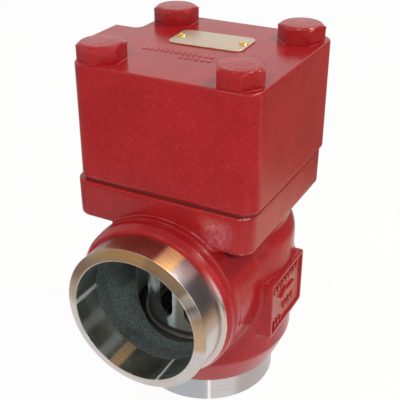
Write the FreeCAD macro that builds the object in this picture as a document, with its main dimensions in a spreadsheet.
import FreeCAD, Part
import math
import os
import re
import Sketcher

# Angle pattern safety valve with a servo piston, butt weld ends and a block cover.
# Millimetres. The origin is the centre of the bottom (inlet) end's face, +Z runs up the spindle,
# the side (outlet) end points along -Y and the pilot boss along -X.

doc = FreeCAD.newDocument("SafetyValve")
sizes = doc.addObject("Spreadsheet::Sheet", "Sizes")

# Driving dimensions: alias, value in millimetres (or degrees, or a count), meaning
DIMENSIONS = [
    ("pipe_radius", 44.45, "outside radius of both weld ends"),
    ("bore_radius", 37.9, "bore of both weld ends"),
    ("end_land", 1.0, "width of the flat land at a weld end's face"),
    ("bevel_depth", 2.25, "how far the weld bevel reaches back from the face"),
    ("inlet_height", 88.0, "inlet face up to the outlet axis"),
    ("outlet_reach", 88.0, "valve axis out to the outlet face"),
    ("inlet_bare", 20.0, "length of bare machined pipe end at the inlet"),
    ("outlet_bare", 19.0, "length of bare machined pipe end at the outlet"),
    ("paint_step", 1.6, "how far the cast neck stands out from a machined end"),
    ("inlet_bore_length", 15.0, "machined length of the inlet bore"),
    ("outlet_bore_length", 21.0, "machined length of the outlet bore"),
    ("foot_height", 17.0, "height of the barrel's coned foot"),
    ("foot_step", 1.15, "how far the coned foot stands out from the paint at its lower end"),
    ("foot_edge", 1.5, "rounding between the barrel and its coned foot"),
    ("barrel_wall", 9.5, "wall of the barrel round the chamber"),
    ("shoulder_height", 12.0, "height of the barrel's top shoulder"),
    ("shoulder_rounding", 19.3, "radius of the barrel's top shoulder"),
    ("throat_length", 8.3, "length of the throat between the shoulder and the flange"),
    ("throat_inset", 4.7, "how far the throat lies inside the cover's sides"),
    ("neck_wall", 4.6, "how much larger the side neck's radius is than its weld end's"),
    ("neck_draft", 3.0, "how much wider the side neck is at the valve axis than at its front"),
    ("neck_lip", 4.7, "length of the neck's rounded front"),
    ("neck_lip_rounding", 4.5, "radius of the neck's rounded front"),
    ("flange_rise", 61.0, "height of the body flange's top above the outlet axis"),
    ("flange_thickness", 22.7, "thickness of the body flange"),
    ("flange_overhang", 0.2, "how far the body flange's sides stand out past the cover's"),
    ("flange_corner", 9.5, "corner radius of the body flange"),
    ("flange_draft", 0.5, "draft of the body flange's sides, degrees"),
    ("flange_offset", 2.1, "how far the cast flange lies off centre, towards -X"),
    ("flange_edge", 1.2, "rounding of the flange's top edge"),
    ("flange_foot_edge", 1.3, "rounding of the flange's lower edge"),
    ("throat_fillet", 0.7, "fillet between the barrel's throat and the flange"),
    ("pad_stand", 2.5, "how far the side pad stands out from the barrel"),
    ("pad_width", 49.5, "width of the side pad"),
    ("pad_height", 38.0, "height of the side pad"),
    ("pad_centre_y", -3.75, "place of the side pad's centre along Y"),
    ("pad_drop", 14.0, "how far the side pad's centre lies below the outlet axis"),
    ("pad_corner", 3.0, "corner radius of the side pad"),
    ("pad_rim", 2.4, "width of the side pad's rim"),
    ("pad_recess", 1.2, "depth of the side pad's panel below its rim"),
    ("pad_root", 0.7, "wall left between the side pad's root and the chamber"),
    ("passage_radius", 42.0, "radius of the cast passage behind the outlet bore"),
    ("passage_flare", 12.0, "length over which the passage opens out"),
    ("sump_radius", 40.5, "radius of the cast passage under the seat"),
    ("sump_flare", 5.0, "height over which the passage under the seat opens out"),
    ("web_thickness", 8.0, "thickness of the web that carries the seat"),
    ("web_drop", 44.0, "how far the web's top lies below the outlet axis"),
    ("chamber_gap", 7.5, "width of the bored chamber round the cage"),
    ("ledge_depth", 8.0, "depth of the counterbore for the guide insert's flange"),
    ("ledge_width", 1.5, "width of the counterbore's ledge"),
    ("gasket_thickness", 1.8, "thickness of the cover gasket"),
    ("gasket_inset", 2.0, "how far the gasket lies inside the cover's outline"),
    ("gasket_lap", 2.0, "how far the gasket's hole clears the servo cylinder"),
    ("cover_corner", 10.0, "corner radius of the cover"),
    ("cover_edge", 1.3, "rounding of the cover's top edge"),
    ("cover_foot_edge", 1.8, "rounding of the cover's lower edge"),
    ("cylinder_step", 7.0, "how much smaller the servo cylinder's radius is than the counterbore's"),
    ("cylinder_gap", 3.0, "gap left over the spindle in the servo cylinder"),
    ("cylinder_roof", 12.3, "thickness of the cover over the servo cylinder"),
    ("bolt_wall", 2.92, "wall between a cover screw's hole and the counterbore"),
    ("bolt_margin", 14.5, "distance of the cover screws' square from the cover's sides"),
    ("bolt_shift_x", 1.0, "how far the cover screws' square lies off centre, towards -X"),
    ("bolt_shift_y", 1.0, "how far the cover screws' square lies off centre, towards -Y"),
    ("bolt_radius", 8.0, "nominal radius of the cover screws"),
    ("bolt_length", 85.0, "length of the cover screws under the head"),
    ("bolt_head_height", 10.0, "height of a cover screw's head"),
    ("bolt_head_flats", 24.0, "width across flats of a cover screw's head"),
    ("bolt_end", 1.2, "chamfer at a cover screw's end"),
    ("bolt_hole_gap", 0.75, "radial clearance of the cover's screw holes"),
    ("thread_gap", 0.05, "radial clearance left between a thread and its hole"),
    ("overcut", 1.0, "how far a cutter reaches past what it cuts"),
    ("chamfer", 1.0, "chamfer of turned edges"),
    ("fine_chamfer", 0.5, "chamfer of small turned edges"),
    ("hex_edge", 1.0, "how far a hexagon's turned face lies inside its flats"),
    ("boss_stand", 16.5, "how far the pilot boss stands out from the cover's side"),
    ("boss_width", 39.0, "width of the pilot boss"),
    ("boss_centre_y", -2.0, "place of the pilot boss along Y"),
    ("boss_root", 5.0, "wall left between the pilot boss's root and the cylinder"),
    ("boss_rounding", 4.0, "fillet between the pilot boss and the cover"),
    ("port_radius", 9.3, "core radius of the pilot port's thread"),
    ("port_depth", 16.0, "depth of the pilot port's thread"),
    ("port_face_radius", 15.0, "radius of the spot face round the pilot port"),
    ("port_face_depth", 0.8, "depth of the spot face round the pilot port"),
    ("duct_radius", 3.5, "radius of the duct from the pilot port to the cylinder"),
    ("plate_length", 46.0, "length of the plate on the cover"),
    ("plate_width", 26.0, "width of the plate on the cover"),
    ("plate_corner", 5.0, "corner radius of the plate"),
    ("plate_thickness", 0.9, "thickness of the plate"),
    ("plate_x", -3.8, "place of the plate's centre along X"),
    ("plate_y", 13.3, "place of the plate's centre along Y"),
    ("plate_turn", 3.0, "how far the plate is turned, degrees"),
    ("rivet_spacing", 38.6, "spacing of the plate's rivets"),
    ("rivet_radius", 1.5, "shank radius of a rivet"),
    ("rivet_head_radius", 2.9, "head radius of a rivet"),
    ("rivet_head_height", 1.3, "head height of a rivet"),
    ("rivet_depth", 6.0, "depth of a rivet's hole in the cover"),
    ("rivet_end_gap", 0.5, "gap left under a rivet"),
    ("seat_bore", 27.0, "bore of the seat ring"),
    ("seat_wall", 6.5, "wall of the seat ring and its fit in the web"),
    ("seat_lip", 1.5, "width of the seat ring's lip"),
    ("seat_lip_height", 1.5, "height of the seat ring's lip"),
    ("seat_straight", 6.0, "height of the seat ring's straight bore"),
    ("seat_rounding", 10.5, "radius of the rounding above the seat ring's bore"),
    ("seat_flange_width", 1.6, "how far the seat ring's flange reaches past the cage"),
    ("seat_flange_height", 2.0, "height of the seat ring's flange"),
    ("spigot_height", 3.5, "height of the seat ring's spigot inside the cage"),
    ("spigot_wall", 1.9, "wall of the seat ring's spigot at its top"),
    ("cage_radius", 38.0, "outside radius of the cage"),
    ("cage_wall", 4.0, "wall of the cage"),
    ("slot_count", 10, "number of slots round the cage"),
    ("slot_width", 15.9, "width of a cage slot"),
    ("slot_foot", 8.5, "height of a cage slot's lower end above the seat ring's flange"),
    ("slot_head", 26.0, "distance of a cage slot's upper end below the collar"),
    ("collar_height", 9.0, "height of the cage's top collar"),
    ("oring_section", 1.3, "section radius of the static seal rings"),
    ("insert_floor", 7.0, "thickness of the guide insert's floor"),
    ("insert_depth", 21.0, "depth of the guide insert below its flange's top"),
    ("insert_wall", 3.0, "wall of the guide insert's cup"),
    ("hub_radius", 13.5, "outside radius of the guide insert's hub"),
    ("hub_rise", 8.0, "how far the hub stands above the guide insert's flange"),
    ("vent_radius", 2.0, "radius of the vent holes in the guide insert"),
    ("vent_count", 6, "number of vent holes"),
    ("bush_wall", 2.0, "wall of the guide bush"),
    ("bush_shelf", 2.0, "height of the shelf under the guide bush"),
    ("bush_shelf_width", 1.0, "width of the shelf under the guide bush"),
    ("circlip_height", 1.2, "height of the bush's circlip"),
    ("circlip_bite", 1.0, "how far the circlip's groove is cut into the hub"),
    ("circlip_grip", 0.6, "how far the circlip laps over the bush"),
    ("circlip_inset", 2.0, "distance of the circlip from the hub's top"),
    ("spindle_radius", 8.0, "radius of the spindle"),
    ("spindle_end_radius", 6.0, "radius of the spindle's threaded ends"),
    ("running_gap", 0.05, "radial clearance of the spindle in its bush and the piston in its cylinder"),
    ("fit_gap", 0.1, "radial clearance of registers and static fits"),
    ("seat_gap", 0.05, "gap left between the shut cone and the seat"),
    ("lift", 14.0, "travel of the cone from shut to open"),
    ("stop_gap", 0.3, "gap left between piston and hub at full lift"),
    ("piston_hub_length", 10.7, "length of the piston's hub under its crown"),
    ("crown_thickness", 10.0, "thickness of the piston's crown"),
    ("piston_height", 28.0, "height of the piston"),
    ("skirt_wall", 6.0, "wall of the piston's skirt"),
    ("ring_height", 2.5, "height of a piston ring"),
    ("ring_depth", 3.2, "depth of a piston ring's groove"),
    ("ring_pitch", 5.5, "distance between the piston rings"),
    ("ring_first", 3.5, "distance of the first piston ring from the piston's top"),
    ("band_height", 6.0, "height of the piston's wear ring"),
    ("band_depth", 2.0, "depth of the wear ring's groove"),
    ("band_low", 3.5, "height of the wear ring above the piston's lower edge"),
    ("side_gap", 0.1, "side clearance of a ring in its groove"),
    ("ring_back_gap", 0.3, "gap behind a piston ring"),
    ("nut_flats", 18.0, "width across flats of the spindle nuts"),
    ("nut_height", 7.5, "height of the spindle nuts"),
    ("washer_height", 1.5, "thickness of the spindle washers"),
    ("washer_radius", 11.5, "radius of the spindle washers"),
    ("bleed_inset", 14.0, "distance of the bleed screw from the cylinder's wall"),
    ("bleed_radius", 3.0, "thread radius of the bleed screw"),
    ("bleed_head_radius", 4.8, "head radius of the bleed screw"),
    ("bleed_head_height", 3.0, "head height of the bleed screw"),
    ("bleed_bore", 0.8, "radius of the bleed screw's orifice"),
    ("bleed_slot", 1.2, "width and depth of the bleed screw's slot"),
    ("bleed_end_gap", 1.0, "how far the bleed screw ends short of the crown's underside"),
    ("spindle_top_reach", 2.0, "how far the spindle stands out of its upper nut"),
    ("spindle_foot_reach", 1.0, "how far the spindle stands out of its lower nut"),
    ("spring_radius", 23.0, "mean radius of the return spring"),
    ("spring_wire", 2.25, "wire radius of the return spring"),
    ("spring_turns", 6.0, "turns of the return spring"),
    ("spring_end_gap", 0.15, "gap left at each end of the return spring"),
    ("spring_washer_height", 1.5, "height of the ring under the spring"),
    ("spring_washer_margin", 1.0, "how far the ring under the spring reaches past the wire"),
    ("cone_lap", 3.5, "how far the cone reaches past the seat's bore"),
    ("cone_height", 9.5, "height of the cone"),
    ("cone_hub_radius", 12.0, "radius of the cone's hub"),
    ("cone_slope", 3.5, "how much lower the cone's rim is than its hub"),
    ("seal_height", 3.0, "height of the cone's soft ring"),
    ("seal_lap", 2.6, "how far the cone's soft ring reaches past the seat's bore"),
    ("seal_depth", 5.0, "how far the cone's soft ring reaches inside the seat's bore"),
    ("rim_drop", 0.8, "how far the cone's rim lies below the soft ring"),
    ("retainer_gap", 1.2, "radial clearance of the retainer in the seat"),
    ("retainer_height", 5.0, "height of the retainer"),
    ("retainer_slope", 4.8, "how much smaller the retainer's radius is at its top"),
    ("retainer_edge", 1.5, "height of the retainer's straight edge"),
]

for row, (alias, number, meaning) in enumerate(DIMENSIONS, start=1):
    sizes.set(f"A{row}", meaning)
    sizes.set(f"B{row}", str(number))
    sizes.setAlias(f"B{row}", alias)
doc.recompute()

ALIASES = {alias for alias, number, meaning in DIMENSIONS}
WORD = re.compile(r"[a-z][a-z_]*[a-z]")


def cells(text):
    """Put the sheet's name before each alias in an expression."""
    return WORD.sub(lambda m: "Sizes." + m.group() if m.group() in ALIASES else m.group(), text)


def value(text):
    """The number that an expression on the sheet gives."""
    return float(sizes.evalExpression(cells(text)))


def bind(thing, **formulas):
    """Bind properties of an object to the sheet. A double underscore stands for a dot."""
    for name, text in formulas.items():
        thing.setExpression(name.replace("__", "."), cells(text))
    return thing


# Sizes that several pieces share, as expressions on the sheet. First the radii, from the seat outwards
WEB_BORE = "(seat_bore + seat_wall)"
CHAMBER = "(cage_radius + chamber_gap)"
BARREL = f"({CHAMBER} + barrel_wall)"
LEDGE_RADIUS = f"({CHAMBER} + ledge_width)"
CYLINDER = f"({LEDGE_RADIUS} - cylinder_step)"
PISTON_RADIUS = f"({CYLINDER} - running_gap)"
SCREW_PLACE = f"(({LEDGE_RADIUS} + bolt_wall + bolt_radius + thread_gap) / sqrt(2))"
COVER_HALF = f"({SCREW_PLACE} + bolt_margin)"
BOSS_REACH = f"({COVER_HALF} + boss_stand)"
PAD_FACE = f"({BARREL} + pad_stand)"
NECK = "(pipe_radius + neck_wall)"
FOOT = "(pipe_radius + paint_step + foot_step)"
THROAT = f"({COVER_HALF} - throat_inset)"
INSERT_CUP = "(cage_radius - cage_wall - fit_gap)"
BUSH_OUTER = "(spindle_radius + running_gap + bush_wall)"
SPRING_HALF = "(spring_wire + spring_washer_margin)"
RETAINER = "(seat_bore - retainer_gap)"
BLEED_PLACE = f"-({CYLINDER} - bleed_inset)"

# Heights
FLANGE_TOP = "(inlet_height + flange_rise)"
FLANGE_LOW = f"({FLANGE_TOP} - flange_thickness)"
SHOULDER_TOP = f"({FLANGE_LOW} - throat_length)"
BARREL_TOP = f"({SHOULDER_TOP} - shoulder_height)"
WEB_TOP = "(inlet_height - web_drop)"
WEB_LOW = f"({WEB_TOP} - web_thickness)"
PAD_MIDDLE = "(inlet_height - pad_drop)"
GASKET_TOP = f"({FLANGE_TOP} + gasket_thickness)"
LEDGE = f"({FLANGE_TOP} - ledge_depth)"
SEAT_FLANGE_TOP = f"({WEB_TOP} + seat_flange_height)"
SEAT_GROOVE = f"({WEB_TOP} - web_thickness / 2)"
CAGE_GROOVE = f"({LEDGE} - collar_height / 2)"
SLOT_LOW = f"({SEAT_FLANGE_TOP} + slot_foot)"
SLOT_HIGH = f"({LEDGE} - collar_height - slot_head)"
INSERT_LOW = f"({FLANGE_TOP} - insert_depth)"
INSERT_FLOOR_TOP = f"({INSERT_LOW} + insert_floor)"
HUB_TOP = f"({FLANGE_TOP} + hub_rise)"
CIRCLIP_TOP = f"({HUB_TOP} - circlip_inset)"
PISTON_HUB_LOW = f"({HUB_TOP} + lift + stop_gap)"
CROWN_LOW = f"({PISTON_HUB_LOW} + piston_hub_length)"
PISTON_TOP = f"({CROWN_LOW} + crown_thickness)"
SPINDLE_TOP = f"({PISTON_TOP} + washer_height + nut_height + spindle_top_reach)"
CYLINDER_TOP = f"({SPINDLE_TOP} + cylinder_gap)"
COVER_TOP = f"({CYLINDER_TOP} + cylinder_roof)"
CONE_TOP = f"({WEB_LOW} - seat_gap)"
CONE_LOW = f"({CONE_TOP} - cone_height)"
SHOULDER = f"({CONE_TOP} + retainer_height)"

# Places out along the outlet, measured from the valve axis
NECK_FRONT = "(outlet_bare - outlet_reach)"
PASSAGE_FRONT = "(outlet_bore_length - outlet_reach)"


# Sketches

def new_body(label):
    """An empty body whose label names its file."""
    body = doc.addObject("PartDesign::Body", label)
    body.Label = label
    return body


def origin_feature(body, role):
    return next(f for f in body.Origin.OriginFeatures if f.Role == role)


def new_sketch(body, name, role, offset=None):
    """A sketch on one of the body's origin planes, shifted along the plane's normal by a formula."""
    sketch = body.newObject("Sketcher::SketchObject", name)
    sketch.AttachmentSupport = (origin_feature(body, role), [""])
    sketch.MapMode = "FlatFace"
    if offset:
        sketch.setExpression(".AttachmentOffset.Base.z", cells(offset))
    return sketch


def hold_point(sketch, shape, corner, place):
    """Fix a point of a sketch to the place that two formulas give."""
    for kind, axis, text in (("DistanceX", -2, place[0]), ("DistanceY", -1, place[1])):
        if text == "0":
            sketch.addConstraint(Sketcher.Constraint("PointOnObject", shape, corner, axis))
        else:
            index = sketch.addConstraint(
                Sketcher.Constraint(kind, -1, 1, shape, corner, value(text)))
            sketch.setExpression(f"Constraints[{index}]", cells(text))


HALF_ROUND = 0.001    # a stretch whose centre lies this near its chord is a half circle


def hold_height(sketch, shape, text):
    """Fix the centre of a half circle with a level chord to the chord's height."""
    index = sketch.addConstraint(
        Sketcher.Constraint("DistanceY", -1, 1, shape, 3, value(text)))
    sketch.setExpression(f"Constraints[{index}]", cells(text))


def outline(sketch, points, arcs=None):
    """Draw an outline through the points. arcs gives, by the index of its first point, the radius
    of a round stretch and the side of its centre (+1 left of the way on, -1 right)."""
    arcs = arcs or {}
    places = [FreeCAD.Vector(value(x), value(y), 0) for x, y in points]
    ends = []
    for k, here in enumerate(places):
        there = places[(k + 1) % len(places)]
        if k not in arcs:
            shape = sketch.addGeometry(Part.LineSegment(here, there))
            ends.append((shape, 1, 2))
            continue
        radius_text, side = arcs[k]
        radius = value(radius_text)
        half = (there - here) * 0.5
        reach = math.sqrt(max(radius * radius - half.Length * half.Length, 0.0))
        across = FreeCAD.Vector(-half.y, half.x, 0).normalize()
        centre = here + half + across * (reach * side)
        low, high = (here, there) if side > 0 else (there, here)
        angles = [math.atan2(p.y - centre.y, p.x - centre.x) for p in (low, high)]
        circle = Part.Circle(centre, FreeCAD.Vector(0, 0, 1), radius)
        shape = sketch.addGeometry(Part.ArcOfCircle(circle, angles[0], angles[1]))
        ends.append((shape, 1, 2) if side > 0 else (shape, 2, 1))
        if reach < HALF_ROUND:
            hold_height(sketch, shape, points[k][1])
        else:
            index = sketch.addConstraint(Sketcher.Constraint("Radius", shape, radius))
            sketch.setExpression(f"Constraints[{index}]", cells(radius_text))
    for k, (shape, start, stop) in enumerate(ends):
        after, after_start, after_stop = ends[(k + 1) % len(ends)]
        sketch.addConstraint(
            Sketcher.Constraint("Coincident", shape, stop, after, after_start))
    for (shape, start, stop), place in zip(ends, points):
        hold_point(sketch, shape, start, place)


def circle(sketch, radius, x="0", y="0"):
    """A circle of a sketch with its radius and centre from formulas."""
    centre = FreeCAD.Vector(value(x), value(y), 0)
    shape = sketch.addGeometry(Part.Circle(centre, FreeCAD.Vector(0, 0, 1), value(radius)))
    index = sketch.addConstraint(Sketcher.Constraint("Radius", shape, value(radius)))
    sketch.setExpression(f"Constraints[{index}]", cells(radius))
    hold_point(sketch, shape, 3, (x, y))


def rounded_rectangle(sketch, half_x, half_y, corner, x="0", y="0"):
    """A rectangle with round corners, its half sides, corner and centre from formulas."""
    right = f"({x}) + ({half_x})"
    left = f"({x}) - ({half_x})"
    back = f"({y}) + ({half_y})"
    front = f"({y}) - ({half_y})"
    points = [
        (f"{left} + ({corner})", front),
        (f"{right} - ({corner})", front),
        (right, f"{front} + ({corner})"),
        (right, f"{back} - ({corner})"),
        (f"{right} - ({corner})", back),
        (f"{left} + ({corner})", back),
        (left, f"{back} - ({corner})"),
        (left, f"{front} + ({corner})"),
    ]
    outline(sketch, points, {1: (corner, 1), 3: (corner, 1), 5: (corner, 1), 7: (corner, 1)})


def pad(body, sketch, length, reverse=False, **settings):
    feature = body.newObject("PartDesign::Pad", sketch.Name + "Pad")
    feature.Profile = sketch
    feature.Reversed = reverse
    bind(feature, Length=length, **settings)
    return feature


def pocket(body, sketch, length, reverse=False):
    """A pocket. It raises an error if it cuts nothing."""
    doc.recompute()
    before = body.Shape.Volume
    feature = body.newObject("PartDesign::Pocket", sketch.Name + "Pocket")
    feature.Profile = sketch
    feature.Reversed = reverse
    bind(feature, Length=length)
    doc.recompute()
    if body.Shape.Volume > before - 0.01:
        raise RuntimeError(f"{feature.Name} cuts nothing")
    return feature


def revolve(body, sketch, kind="Revolution", axis="V_Axis"):
    """Turn a sketch about one of its axes, to add (Revolution) or to cut (Groove)."""
    feature = body.newObject("PartDesign::" + kind, sketch.Name + kind)
    feature.Profile = sketch
    feature.ReferenceAxis = (sketch, [axis])
    feature.Angle = 360
    return feature


def polar(body, feature, count):
    """Repeat a feature round the vertical axis."""
    doc.recompute()
    pattern = body.newObject("PartDesign::PolarPattern", feature.Name + "Ring")
    pattern.Originals = [feature]
    pattern.Axis = (origin_feature(body, "Z_Axis"), [""])
    pattern.Angle = 360
    bind(pattern, Occurrences=count)
    body.Tip = pattern
    return pattern


def round_edges(body, radius, wanted, name, kind="Fillet"):
    """Round or bevel the edges of the body's tip that a test picks out."""
    doc.recompute()
    base = body.Tip
    names = [f"Edge{k + 1}" for k, edge in enumerate(base.Shape.Edges) if wanted(edge)]
    if not names:
        raise RuntimeError(f"no edges for {name}")
    feature = body.newObject("PartDesign::" + kind, name)
    feature.Base = (base, names)
    if kind == "Fillet":
        bind(feature, Radius=radius)
    else:
        bind(feature, Size=radius)
    doc.recompute()
    return feature


def turned(label, points, arcs=None):
    """A body turned about the vertical axis from an outline of (radius, height) formulas."""
    body = new_body(label)
    sketch = new_sketch(body, label + "_profile", "XZ_Plane")
    outline(sketch, points, arcs)
    revolve(body, sketch)
    return body


def ring(label, inner, outer, low, high):
    """A plain turned ring between two radii and two heights."""
    return turned(label, [(inner, low), (outer, low), (outer, high), (inner, high)])


def level_edge(height, tolerance=0.01):
    """A test for edges that lie flat at a height."""
    def test(edge):
        box = edge.BoundBox
        return abs(box.ZMin - height) < tolerance and abs(box.ZMax - height) < tolerance
    return test


def outer_level_edge(height, outer):
    """A test for the flat edges at a height that bound the flange outside, or its root inside."""
    flat = level_edge(height)

    def test(edge):
        whole_circle = len(edge.Vertexes) == 1
        return flat(edge) and whole_circle != outer
    return test


# The casting

def casting_outside(body):
    """Barrel, flange, side neck with its weld end, and pad."""
    barrel = new_sketch(body, "barrel", "XZ_Plane")
    outline(barrel, [
        ("0", "0"),
        ("bore_radius + end_land", "0"),
        ("pipe_radius", "bevel_depth"),
        ("pipe_radius", "inlet_bare - paint_step"),
        ("pipe_radius + paint_step", "inlet_bare"),
        (FOOT, "inlet_bare"),
        (f"{BARREL} - foot_edge", "inlet_bare + foot_height"),
        (BARREL, "inlet_bare + foot_height + foot_edge"),
        (BARREL, BARREL_TOP),
        (THROAT, SHOULDER_TOP),
        (THROAT, f"{FLANGE_LOW} + overcut"),
        ("0", f"{FLANGE_LOW} + overcut"),
    ], {3: ("paint_step", -1), 6: ("foot_edge", 1), 8: ("shoulder_rounding", 1)})
    revolve(body, barrel)

    flange = new_sketch(body, "flange", "XY_Plane", FLANGE_TOP)
    half = f"{COVER_HALF} + flange_overhang"
    rounded_rectangle(flange, half, half, "flange_corner", "-flange_offset")
    pad(body, flange, "flange_thickness", reverse=True, TaperAngle="-flange_draft")
    low = value(FLANGE_LOW)
    round_edges(body, "flange_edge", level_edge(value(FLANGE_TOP)), "flange_top_edge")
    round_edges(body, "flange_foot_edge", outer_level_edge(low, True), "flange_low_edge")
    round_edges(body, "throat_fillet", outer_level_edge(low, False), "throat_root")

    neck = new_sketch(body, "neck", "YZ_Plane")
    bind(neck, AttachmentOffset__Base__y="inlet_height")
    outline(neck, [
        ("-outlet_reach", "0"),
        ("0", "0"),
        ("0", f"{NECK} + neck_draft"),
        (f"{NECK_FRONT} + neck_lip", NECK),
        (NECK_FRONT, "pipe_radius + paint_step"),
        (f"{NECK_FRONT} - paint_step", "pipe_radius"),
        ("bevel_depth - outlet_reach", "pipe_radius"),
        ("-outlet_reach", "bore_radius + end_land"),
    ], {3: ("neck_lip_rounding", 1), 4: ("paint_step", -1)})
    revolve(body, neck, axis="H_Axis")

    block = new_sketch(body, "side_pad", "YZ_Plane", PAD_FACE)
    rounded_rectangle(block, "pad_width / 2", "pad_height / 2", "pad_corner",
                      "pad_centre_y", PAD_MIDDLE)
    pad(body, block, f"{PAD_FACE} - {CHAMBER} - pad_root", reverse=True)


def casting_inside(body):
    """Inlet bore, space under the seat, web, chamber, counterbore and outlet passage."""
    hollow = new_sketch(body, "hollow", "XZ_Plane")
    outline(hollow, [
        ("0", "-overcut"),
        ("bore_radius", "-overcut"),
        ("bore_radius", "inlet_bore_length"),
        ("sump_radius", "inlet_bore_length + sump_flare"),
        ("sump_radius", f"{WEB_LOW} - sump_flare"),
        ("sump_radius - sump_flare", WEB_LOW),
        (WEB_BORE, WEB_LOW),
        (WEB_BORE, WEB_TOP),
        (CHAMBER, WEB_TOP),
        (CHAMBER, LEDGE),
        (LEDGE_RADIUS, LEDGE),
        (LEDGE_RADIUS, f"{FLANGE_TOP} + overcut"),
        ("0", f"{FLANGE_TOP} + overcut"),
    ], {4: ("sump_flare", 1)})
    revolve(body, hollow, "Groove")

    passage = new_sketch(body, "passage", "YZ_Plane")
    bind(passage, AttachmentOffset__Base__y="inlet_height")
    outline(passage, [
        ("-outlet_reach - overcut", "0"),
        ("0", "0"),
        ("0", "passage_radius"),
        (f"{PASSAGE_FRONT} + passage_flare", "passage_radius"),
        (PASSAGE_FRONT, "bore_radius"),
        ("-outlet_reach - overcut", "bore_radius"),
    ])
    revolve(body, passage, "Groove", "H_Axis")


def screw_places():
    """Formulas for the centres of the four cover screws, anticlockwise from the front left."""
    corners = ((-1, -1), (1, -1), (1, 1), (-1, 1))
    return [(f"{x} * {SCREW_PLACE} - bolt_shift_x", f"{y} * {SCREW_PLACE} - bolt_shift_y")
            for x, y in corners]


def valve_body():
    body = new_body("valve_body")
    casting_outside(body)
    casting_inside(body)

    holes = new_sketch(body, "flange_holes", "XY_Plane", FLANGE_TOP)
    for x, y in screw_places():
        circle(holes, "bolt_radius + thread_gap", x, y)
    pocket(body, holes, "flange_thickness")

    panel = new_sketch(body, "pad_panel", "YZ_Plane", PAD_FACE)
    rounded_rectangle(panel, "pad_width / 2 - pad_rim", "pad_height / 2 - pad_rim",
                      "pad_corner - pad_rim / 2", "pad_centre_y", PAD_MIDDLE)
    pocket(body, panel, "pad_recess")
    return body


# The cover and what lies on it

def cover():
    body = new_body("cover")
    block = new_sketch(body, "cover_block", "XY_Plane", GASKET_TOP)
    rounded_rectangle(block, COVER_HALF, COVER_HALF, "cover_corner")
    pad(body, block, f"{COVER_TOP} - {GASKET_TOP}")
    round_edges(body, "cover_foot_edge", level_edge(value(GASKET_TOP)), "cover_foot")

    boss = new_sketch(body, "pilot_boss", "YZ_Plane", f"-{BOSS_REACH}")
    outline(boss, [
        ("boss_centre_y + boss_width / 2", COVER_TOP),
        ("boss_centre_y - boss_width / 2", COVER_TOP),
        ("boss_centre_y - boss_width / 2", f"{COVER_TOP} - boss_width / 2"),
        ("boss_centre_y + boss_width / 2", f"{COVER_TOP} - boss_width / 2"),
    ], {2: ("boss_width / 2", 1)})
    pad(body, boss, f"{BOSS_REACH} - {CYLINDER} - boss_root")
    side = -value(COVER_HALF)

    def boss_root(edge):
        box = edge.BoundBox
        return abs(box.XMin - side) < 0.01 and abs(box.XMax - side) < 0.01 and (
            abs(edge.CenterOfMass.y - value("boss_centre_y")) < value("boss_width / 2 + 1")
            and edge.CenterOfMass.z < value(COVER_TOP) - 1)
    round_edges(body, "boss_rounding", boss_root, "boss_fillet")
    round_edges(body, "cover_edge", level_edge(value(COVER_TOP)), "cover_top_edge")

    cylinder = new_sketch(body, "servo_cylinder", "XY_Plane", GASKET_TOP)
    circle(cylinder, CYLINDER)
    pocket(body, cylinder, f"{CYLINDER_TOP} - {GASKET_TOP}", reverse=True)

    holes = new_sketch(body, "cover_holes", "XY_Plane", COVER_TOP)
    for x, y in screw_places():
        circle(holes, "bolt_radius + bolt_hole_gap", x, y)
    pocket(body, holes, f"{COVER_TOP} - {GASKET_TOP}")

    for name, radius, depth in (
            ("port_spot_face", "port_face_radius", "port_face_depth"),
            ("port_thread", "port_radius", "port_face_depth + port_depth"),
            ("port_duct", "duct_radius", f"{BOSS_REACH} - {CYLINDER} + overcut")):
        sketch = new_sketch(body, name, "YZ_Plane", f"-{BOSS_REACH}")
        circle(sketch, radius, "boss_centre_y", f"{COVER_TOP} - boss_width / 2")
        pocket(body, sketch, depth, reverse=True)

    rivets = new_sketch(body, "rivet_holes", "XY_Plane", COVER_TOP)
    for side in (-1, 1):
        circle(rivets, "rivet_radius + thread_gap / 2", *rivet_place(side))
    pocket(body, rivets, "rivet_depth")
    return body


def rivet_place(side):
    """Formulas for a rivet's place, side -1 left or +1 right."""
    arm = f"{side} * rivet_spacing / 2"
    return (f"plate_x + {arm} * cos(plate_turn * 1 deg)",
            f"plate_y + {arm} * sin(plate_turn * 1 deg)")


def cover_gasket():
    body = new_body("cover_gasket")
    sketch = new_sketch(body, "gasket_outline", "XY_Plane", FLANGE_TOP)
    half = f"{COVER_HALF} - gasket_inset"
    rounded_rectangle(sketch, half, half, "cover_corner - gasket_inset")
    circle(sketch, f"{CYLINDER} + gasket_lap")
    for x, y in screw_places():
        circle(sketch, "bolt_radius + bolt_hole_gap", x, y)
    pad(body, sketch, "gasket_thickness")
    return body


def id_plate():
    body = new_body("id_plate")
    sketch = new_sketch(body, "plate_outline", "XY_Plane")
    rounded_rectangle(sketch, "plate_length / 2", "plate_width / 2", "plate_corner")
    for side in (-1, 1):
        circle(sketch, "rivet_radius + thread_gap / 2", f"{side} * rivet_spacing / 2", "0")
    pad(body, sketch, "plate_thickness")
    bind(body, Placement__Base__x="plate_x", Placement__Base__y="plate_y",
         Placement__Base__z=COVER_TOP)
    body.Placement.Rotation = FreeCAD.Rotation(FreeCAD.Vector(0, 0, 1), value("plate_turn"))
    bind(body, Placement__Rotation__Angle="plate_turn * 1 deg")
    return body


# Fasteners

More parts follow.
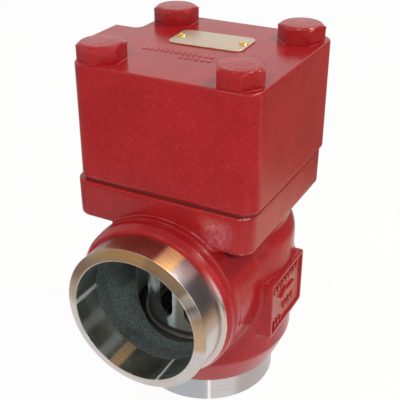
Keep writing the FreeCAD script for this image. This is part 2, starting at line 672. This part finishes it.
def hexagon(sketch, flats):
    """A hexagon about the sketch's origin, two corners on the X axis, width over flats a formula."""
    reach = f"({flats}) / sqrt(3)"
    half = f"({flats}) / 2"
    outline(sketch, [
        (reach, "0"),
        (f"({reach}) / 2", half),
        (f"-({reach}) / 2", half),
        (f"-({reach})", "0"),
        (f"-({reach}) / 2", f"-({half})"),
        (f"({reach}) / 2", f"-({half})"),
    ])


def hex_blank(body, name, flats, height, base, foot_too=False):
    """A hexagonal prism with its corners turned off at 30 degrees at the top, or at both ends."""
    sketch = new_sketch(body, name, "XY_Plane", base)
    hexagon(sketch, flats)
    pad(body, sketch, height)
    face = f"({flats}) / 2 - hex_edge"
    outside = f"({flats}) / sqrt(3) + overcut"
    drop = f"(({outside}) - ({face})) / sqrt(3)"
    ends = [("top", f"({base}) + ({height})", "+", "-")]
    if foot_too:
        ends.append(("foot", base, "-", "+"))
    for end, level, away, back in ends:
        cutter = new_sketch(body, f"{name}_{end}", "XZ_Plane")
        outline(cutter, [
            (face, level),
            (outside, f"({level}) {back} ({drop})"),
            (outside, f"({level}) {away} overcut"),
            (face, f"({level}) {away} overcut"),
        ])
        revolve(body, cutter, "Groove")


def cover_bolts():
    """Four hex head screws, as one compound of separate solids."""
    blank = new_body("bolt_blank")
    hex_blank(blank, "bolt_head", "bolt_head_flats", "bolt_head_height", "0")
    shank = new_sketch(blank, "bolt_shank", "XZ_Plane")
    outline(shank, [
        ("0", "-bolt_length"),
        ("bolt_radius - bolt_end", "-bolt_length"),
        ("bolt_radius", "bolt_end - bolt_length"),
        ("bolt_radius", "0"),
        ("0", "0"),
    ])
    revolve(blank, shank)
    turns = (38.0, 57.0, 14.0, 33.0)
    return group_of("cover_bolts", blank, [
        (x, y, COVER_TOP, turn) for (x, y), turn in zip(screw_places(), turns)])


def group_of(label, blank, places):
    """Copies of one body at several places (x, y, z formulas and a turn in degrees)."""
    copies = []
    for k, (x, y, z, turn) in enumerate(places, start=1):
        copy = doc.addObject("App::Link", f"{label}_copy_{k}")
        copy.LinkedObject = blank
        copy.LinkTransform = False
        copy.LinkPlacement = FreeCAD.Placement(
            FreeCAD.Vector(), FreeCAD.Rotation(FreeCAD.Vector(0, 0, 1), turn))
        bind(copy, LinkPlacement__Base__x=x, LinkPlacement__Base__y=y, LinkPlacement__Base__z=z)
        copies.append(copy)
    group = doc.addObject("Part::Compound", label)
    group.Label = label
    group.Links = copies
    return group


def id_plate_rivets():
    blank = new_body("rivet_blank")
    sketch = new_sketch(blank, "rivet_profile", "XZ_Plane")
    outline(sketch, [
        ("0", "rivet_end_gap - rivet_depth"),
        ("rivet_radius", "rivet_end_gap - rivet_depth"),
        ("rivet_radius", "plate_thickness"),
        ("rivet_head_radius", "plate_thickness"),
        ("0", "plate_thickness + rivet_head_height"),
    ], {3: ("(rivet_head_radius ^ 2 + rivet_head_height ^ 2) / (2 * rivet_head_height)", 1)})
    revolve(blank, sketch)
    return group_of("id_plate_rivets", blank,
                    [(*rivet_place(side), COVER_TOP, 0) for side in (-1, 1)])


# Seat and cage

def groove_in(outer, middle, hole_radius):
    """Four points of a seal groove in a wall of a radius, from its lower edge up."""
    floor = f"{hole_radius} - 2 * (thread_gap + oring_section)"
    half = "(oring_section + side_gap)"
    return [
        (outer, f"{middle} - {half}"),
        (floor, f"{middle} - {half}"),
        (floor, f"{middle} + {half}"),
        (outer, f"{middle} + {half}"),
    ]


def seat_ring():
    """Ring pressed into the web: flange on top, spigot for the cage, lip for the cone below."""
    outer = f"{WEB_BORE} - fit_gap"
    return turned("seat_ring", [
        ("seat_bore", WEB_LOW),
        ("seat_bore + seat_lip", WEB_LOW),
        ("seat_bore + seat_lip * 2", f"{WEB_LOW} + seat_lip_height"),
        (outer, f"{WEB_LOW} + seat_lip_height"),
        *groove_in(outer, SEAT_GROOVE, WEB_BORE),
        (outer, WEB_TOP),
        ("cage_radius + seat_flange_width", WEB_TOP),
        ("cage_radius + seat_flange_width", SEAT_FLANGE_TOP),
        (INSERT_CUP, SEAT_FLANGE_TOP),
        (INSERT_CUP, f"{SEAT_FLANGE_TOP} + spigot_height"),
        (f"{INSERT_CUP} - spigot_wall", f"{SEAT_FLANGE_TOP} + spigot_height"),
        ("seat_bore", f"{WEB_LOW} + seat_straight"),
    ], {13: ("seat_rounding", -1)})


def seal_ring(label, radius, height):
    """A round section ring."""
    torus = doc.addObject("Part::Torus", label)
    torus.Label = label
    bind(torus, Radius1=radius, Radius2="oring_section", Placement__Base__z=height)
    return torus


def seat_oring():
    return seal_ring("seat_oring", f"{WEB_BORE} - thread_gap - oring_section", SEAT_GROOVE)


def cage_oring():
    return seal_ring("cage_oring", f"{CHAMBER} - thread_gap - oring_section", CAGE_GROOVE)


def cage():
    """Sleeve between the seat ring and the guide insert, with round ended slots for the flow."""
    body = new_body("cage")
    sketch = new_sketch(body, "cage_profile", "XZ_Plane")
    collar = f"{CHAMBER} - fit_gap"
    outline(sketch, [
        ("cage_radius - cage_wall", SEAT_FLANGE_TOP),
        ("cage_radius", SEAT_FLANGE_TOP),
        ("cage_radius", f"{LEDGE} - collar_height"),
        (collar, f"{LEDGE} - collar_height"),
        *groove_in(collar, CAGE_GROOVE, CHAMBER),
        (collar, LEDGE),
        ("cage_radius - cage_wall", LEDGE),
    ])
    revolve(body, sketch)
    slot = new_sketch(body, "cage_slot", "YZ_Plane", "cage_radius + overcut")
    outline(slot, [
        ("-slot_width / 2", f"{SLOT_LOW} + slot_width / 2"),
        ("slot_width / 2", f"{SLOT_LOW} + slot_width / 2"),
        ("slot_width / 2", f"{SLOT_HIGH} - slot_width / 2"),
        ("-slot_width / 2", f"{SLOT_HIGH} - slot_width / 2"),
    ], {0: ("slot_width / 2", 1), 2: ("slot_width / 2", 1)})
    polar(body, pocket(body, slot, "cage_wall + slot_width / 2 + overcut"), "slot_count")
    return body


# Guide insert and what it carries

def guide_insert():
    """Cup clamped under the cover. Its hub guides the spindle and stops the piston."""
    body = new_body("guide_insert")
    sketch = new_sketch(body, "insert_profile", "XZ_Plane")
    bore = f"{BUSH_OUTER} + fit_gap"
    groove = f"{BUSH_OUTER} + circlip_bite"
    shelf = f"{BUSH_OUTER} - bush_shelf_width"
    outline(sketch, [
        (shelf, INSERT_LOW),
        (f"{INSERT_CUP} - chamfer", INSERT_LOW),
        (INSERT_CUP, f"{INSERT_LOW} + chamfer"),
        (INSERT_CUP, LEDGE),
        (f"{LEDGE_RADIUS} - fit_gap", LEDGE),
        (f"{LEDGE_RADIUS} - fit_gap", FLANGE_TOP),
        (f"{INSERT_CUP} - insert_wall", FLANGE_TOP),
        (f"{INSERT_CUP} - insert_wall", INSERT_FLOOR_TOP),
        ("hub_radius", INSERT_FLOOR_TOP),
        ("hub_radius", f"{HUB_TOP} - chamfer"),
        ("hub_radius - chamfer", HUB_TOP),
        (bore, HUB_TOP),
        (bore, CIRCLIP_TOP),
        (groove, CIRCLIP_TOP),
        (groove, f"{CIRCLIP_TOP} - circlip_height"),
        (bore, f"{CIRCLIP_TOP} - circlip_height"),
        (bore, f"{INSERT_LOW} + bush_shelf"),
        (shelf, f"{INSERT_LOW} + bush_shelf"),
    ])
    revolve(body, sketch)
    vent = new_sketch(body, "insert_vent", "XY_Plane", INSERT_LOW)
    circle(vent, "vent_radius",
           f"(spring_radius + {SPRING_HALF} + {INSERT_CUP} - insert_wall) / 2", "0")
    polar(body, pocket(body, vent, "insert_floor", reverse=True), "vent_count")
    return body


def guide_bush():
    return ring("guide_bush", "spindle_radius + running_gap", BUSH_OUTER,
                f"{INSERT_LOW} + bush_shelf", f"{CIRCLIP_TOP} - circlip_height")


def bush_circlip():
    return ring("bush_circlip", f"{BUSH_OUTER} - circlip_grip",
                f"{BUSH_OUTER} + circlip_bite - side_gap",
                f"{CIRCLIP_TOP} - circlip_height", CIRCLIP_TOP)


def spring_washer():
    return ring("spring_washer", f"spring_radius - {SPRING_HALF}", f"spring_radius + {SPRING_HALF}",
                INSERT_FLOOR_TOP, f"{INSERT_FLOOR_TOP} + spring_washer_height")


def return_spring():
    """Round wire wound as a helix between the ring in the insert and the piston's crown."""
    low = value(f"{INSERT_FLOOR_TOP} + spring_washer_height + spring_end_gap + spring_wire")
    high = value(f"{CROWN_LOW} - spring_end_gap - spring_wire")
    radius = value("spring_radius")
    wire = value("spring_wire")
    turns = value("spring_turns")
    helix = Part.makeHelix((high - low) / turns, high - low, radius)
    section = Part.Wire(Part.makeCircle(
        wire, FreeCAD.Vector(radius, 0, 0), FreeCAD.Vector(0, 1, 0)))
    coil = Part.Wire(helix.Edges).makePipeShell([section], True, True)
    spring = doc.addObject("Part::Feature", "return_spring")
    spring.Label = "return_spring"
    spring.Shape = coil
    spring.Placement = FreeCAD.Placement(FreeCAD.Vector(0, 0, low), FreeCAD.Rotation())
    return spring


# The moving set

def ring_groove(top, height, depth):
    """Four points of a groove in the piston's side, from its upper edge down."""
    inner = f"({PISTON_RADIUS}) - ({depth})"
    return [
        (PISTON_RADIUS, top),
        (inner, top),
        (inner, f"({top}) - ({height})"),
        (PISTON_RADIUS, f"({top}) - ({height})"),
    ]


def ring_top(k):
    """Height of the upper edge of piston ring groove k."""
    return f"{PISTON_TOP} - ring_first - {k} * ring_pitch"


def servo_piston():
    body = new_body("servo_piston")
    sketch = new_sketch(body, "piston_profile", "XZ_Plane")
    foot = f"{PISTON_TOP} - piston_height"
    bore = "spindle_end_radius + thread_gap"
    grooves = []
    for k in (0, 1):
        grooves += ring_groove(ring_top(k), "ring_height + side_gap", "ring_depth")
    grooves += ring_groove(f"{foot} + band_low + band_height + side_gap",
                           "band_height + side_gap", "band_depth")
    outline(sketch, [
        (f"{PISTON_RADIUS} - chamfer", foot),
        (f"{PISTON_RADIUS} - skirt_wall", foot),
        (f"{PISTON_RADIUS} - skirt_wall", CROWN_LOW),
        ("hub_radius", CROWN_LOW),
        ("hub_radius", PISTON_HUB_LOW),
        ("spindle_radius + thread_gap", PISTON_HUB_LOW),
        ("spindle_radius + thread_gap", CROWN_LOW),
        (bore, CROWN_LOW),
        (bore, PISTON_TOP),
        (f"{PISTON_RADIUS} - chamfer", PISTON_TOP),
        (PISTON_RADIUS, f"{PISTON_TOP} - chamfer"),
        *grooves,
        (PISTON_RADIUS, f"{foot} + chamfer"),
    ])
    revolve(body, sketch)
    hole = new_sketch(body, "bleed_hole", "XY_Plane", PISTON_TOP)
    circle(hole, "bleed_radius + thread_gap", BLEED_PLACE, "0")
    pocket(body, hole, "crown_thickness")
    return body


def piston_rings():
    """Two seal rings, as one compound of separate solids."""
    blank = ring("piston_ring_blank", f"{PISTON_RADIUS} - ring_depth + ring_back_gap",
                 f"{CYLINDER} - running_gap / 2", "0", "ring_height")
    places = [("0", "0", f"{ring_top(k)} - ring_height - side_gap / 2", 0) for k in (0, 1)]
    return group_of("piston_rings", blank, places)


def piston_wear_ring():
    low = f"{PISTON_TOP} - piston_height + band_low + side_gap / 2"
    return ring("piston_wear_ring", f"{PISTON_RADIUS} - band_depth + side_gap",
                f"{CYLINDER} - running_gap / 2", low, f"{low} + band_height")


def washer(label, low):
    return ring(label, "spindle_end_radius + thread_gap", "washer_radius", low,
                f"({low}) + washer_height")


def nut(label, low):
    """A hexagon nut turned off at both faces."""
    body = new_body(label)
    hex_blank(body, label + "_hex", "nut_flats", "nut_height", low, foot_too=True)
    hole = new_sketch(body, label + "_hole", "XY_Plane", low)
    circle(hole, "spindle_end_radius + thread_gap")
    pocket(body, hole, "nut_height", reverse=True)
    return body


def bleed_screw():
    """Slotted screw with a fine hole through it, in the piston's crown."""
    body = new_body("bleed_screw")
    sketch = new_sketch(body, "bleed_profile", "XZ_Plane")
    outline(sketch, [
        ("bleed_bore", "bleed_end_gap - crown_thickness"),
        ("bleed_radius", "bleed_end_gap - crown_thickness"),
        ("bleed_radius", "0"),
        ("bleed_head_radius", "0"),
        ("bleed_head_radius", "bleed_head_height - fine_chamfer"),
        ("bleed_head_radius - fine_chamfer", "bleed_head_height"),
        ("bleed_bore", "bleed_head_height"),
    ])
    revolve(body, sketch)
    slot = new_sketch(body, "bleed_slot_cut", "XY_Plane", "bleed_head_height")
    rounded_rectangle(slot, "bleed_head_radius + overcut", "bleed_slot / 2", "bleed_slot / 4")
    pocket(body, slot, "bleed_slot")
    bind(body, Placement__Base__x=BLEED_PLACE, Placement__Base__z=PISTON_TOP)
    return body


def spindle():
    """Rod with a shoulder for the piston above and one for the cone below."""
    foot = f"{CONE_LOW} - washer_height - nut_height - spindle_foot_reach"
    return turned("spindle", [
        ("0", foot),
        ("spindle_end_radius - chamfer", foot),
        ("spindle_end_radius", f"{foot} + chamfer"),
        ("spindle_end_radius", SHOULDER),
        ("spindle_radius", SHOULDER),
        ("spindle_radius", CROWN_LOW),
        ("spindle_end_radius", CROWN_LOW),
        ("spindle_end_radius", f"{SPINDLE_TOP} - chamfer"),
        ("spindle_end_radius - chamfer", SPINDLE_TOP),
        ("0", SPINDLE_TOP),
    ])


def valve_cone():
    """Cone body with the seat for its soft ring and a sloping underside."""
    rim = "seat_bore + cone_lap"
    outer = "seat_bore + seal_lap + side_gap"
    inner = "seat_bore - seal_depth - side_gap"
    return turned("valve_cone", [
        ("spindle_end_radius + thread_gap", CONE_LOW),
        ("cone_hub_radius", CONE_LOW),
        (rim, f"{CONE_LOW} + cone_slope"),
        (rim, f"{CONE_TOP} - rim_drop"),
        (outer, f"{CONE_TOP} - rim_drop"),
        (outer, f"{CONE_TOP} - seal_height"),
        (inner, f"{CONE_TOP} - seal_height"),
        (inner, CONE_TOP),
        ("spindle_end_radius + thread_gap", CONE_TOP),
    ])


def cone_seal_ring():
    return ring("cone_seal_ring", "seat_bore - seal_depth", "seat_bore + seal_lap",
                f"{CONE_TOP} - seal_height", CONE_TOP)


def cone_retainer():
    """Plate that holds the soft ring and guides the flow into the seat."""
    return turned("cone_retainer", [
        ("spindle_end_radius + thread_gap", CONE_TOP),
        (RETAINER, CONE_TOP),
        (RETAINER, f"{CONE_TOP} + retainer_edge"),
        (f"{RETAINER} - retainer_slope", SHOULDER),
        ("spindle_end_radius + thread_gap", SHOULDER),
    ], {2: (f"{RETAINER} / 2", 1)})


valve_body()
cover()
cover_gasket()
cover_bolts()
id_plate()
id_plate_rivets()
seat_ring()
seat_oring()
cage()
cage_oring()
guide_insert()
guide_bush()
bush_circlip()
spring_washer()
return_spring()
servo_piston()
piston_rings()
piston_wear_ring()
washer("piston_washer", PISTON_TOP)
nut("piston_nut", f"{PISTON_TOP} + washer_height")
bleed_screw()
spindle()
valve_cone()
cone_seal_ring()
cone_retainer()
washer("cone_washer", f"{CONE_LOW} - washer_height")
nut("cone_nut", f"{CONE_LOW} - washer_height - nut_height")

NODES = [
    "valve_body", "cover", "cover_gasket", "cover_bolts", "id_plate", "id_plate_rivets",
    "seat_ring", "seat_oring", "cage", "cage_oring", "guide_insert", "guide_bush",
    "bush_circlip", "spring_washer", "return_spring", "servo_piston", "piston_rings",
    "piston_wear_ring", "piston_washer", "piston_nut", "bleed_screw", "spindle",
    "valve_cone", "cone_seal_ring", "cone_retainer", "cone_washer", "cone_nut",
]

doc.recompute()
failed = [thing.Name for thing in doc.Objects
          if "Invalid" in thing.State or "Error" in thing.State]
if failed:
    raise RuntimeError("these failed: " + ", ".join(failed))

os.makedirs("parts", exist_ok=True)
for label in NODES:
    part = doc.getObjectsByLabel(label)[0]
    shape = part.Shape
    if shape.isNull() or not shape.isValid():
        raise RuntimeError(label + " has no valid shape")
    shape.exportStep(f"parts/{label}.step")
    print(label, len(shape.Solids), round(shape.Volume, 1))
